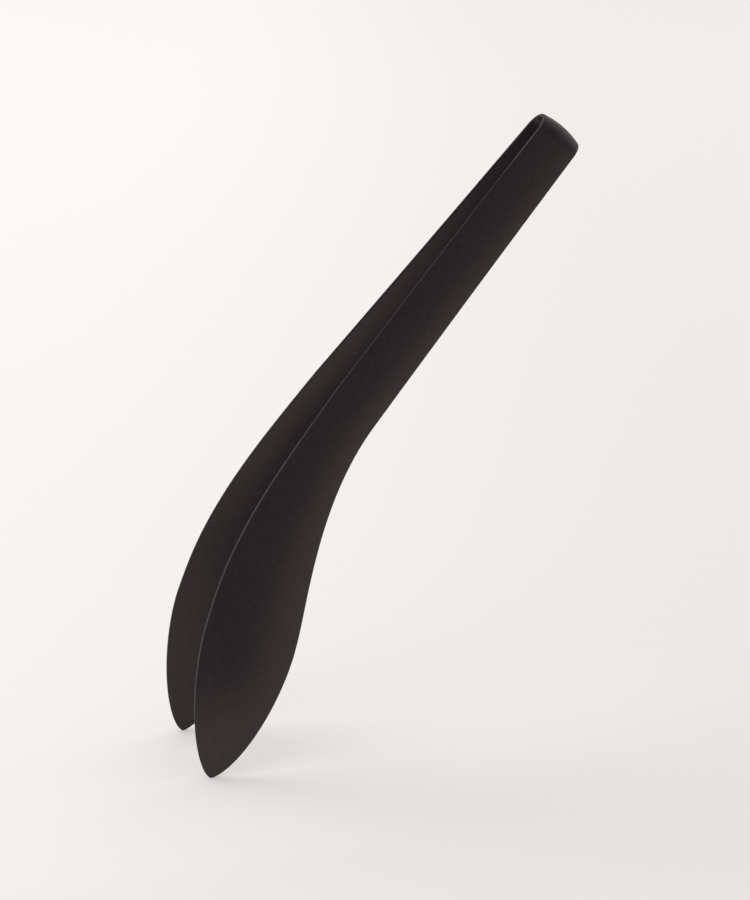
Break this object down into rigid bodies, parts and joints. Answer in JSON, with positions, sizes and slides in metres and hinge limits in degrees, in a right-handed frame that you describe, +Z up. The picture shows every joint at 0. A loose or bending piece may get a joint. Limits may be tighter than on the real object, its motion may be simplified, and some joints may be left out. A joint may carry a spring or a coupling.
{
  "type": "kitchen tongs",
  "caption": "Sprung kitchen tongs bent from a strip of black-coated sheet steel: a tight U-shaped spring bow, guttered handles and dished, leaf-shaped blades that turn sideways.",
  "frame": {"origin": "centre of the spring bow's bend, halfway across the strip", "axes": "+Z up; +Y away from the viewer, square to the mirror plane Y = 0 between the two arms; +X to the side that the bow leans to. Both tips stand on one level, as the tongs are shown"},
  "size_m": [0.1352, 0.0468, 0.2081],
  "materials": {
    "coated_steel": "matte, very finely grained black coating over steel sheet"
  },
  "bodies": {
    "bow": {"spring_bow": "coated_steel"},
    "near_arm": {"near_handle": "coated_steel", "near_blade": "coated_steel", "near_tip": "coated_steel"},
    "far_arm": {"far_handle": "coated_steel", "far_blade": "coated_steel", "far_tip": "coated_steel"}
  },
  "joints": [
    {"name": "near_arm_flex", "type": "hinge", "parent": "bow", "child": "near_arm", "pos_m": [0.00017, -0.00419, 0.00019], "axis": [0.7604, 0, -0.6494], "range_deg": [0, 5], "stiffness_Nm_per_rad": 8},
    {"name": "far_arm_flex", "type": "hinge", "parent": "bow", "child": "far_arm", "pos_m": [0.00017, 0.00419, 0.00019], "axis": [-0.7604, 0, 0.6494], "range_deg": [0, 5], "stiffness_Nm_per_rad": 8}
  ],
  "couplings": [
    {"joint": "far_arm_flex", "follows": "near_arm_flex", "ratio": 1}
  ]
}
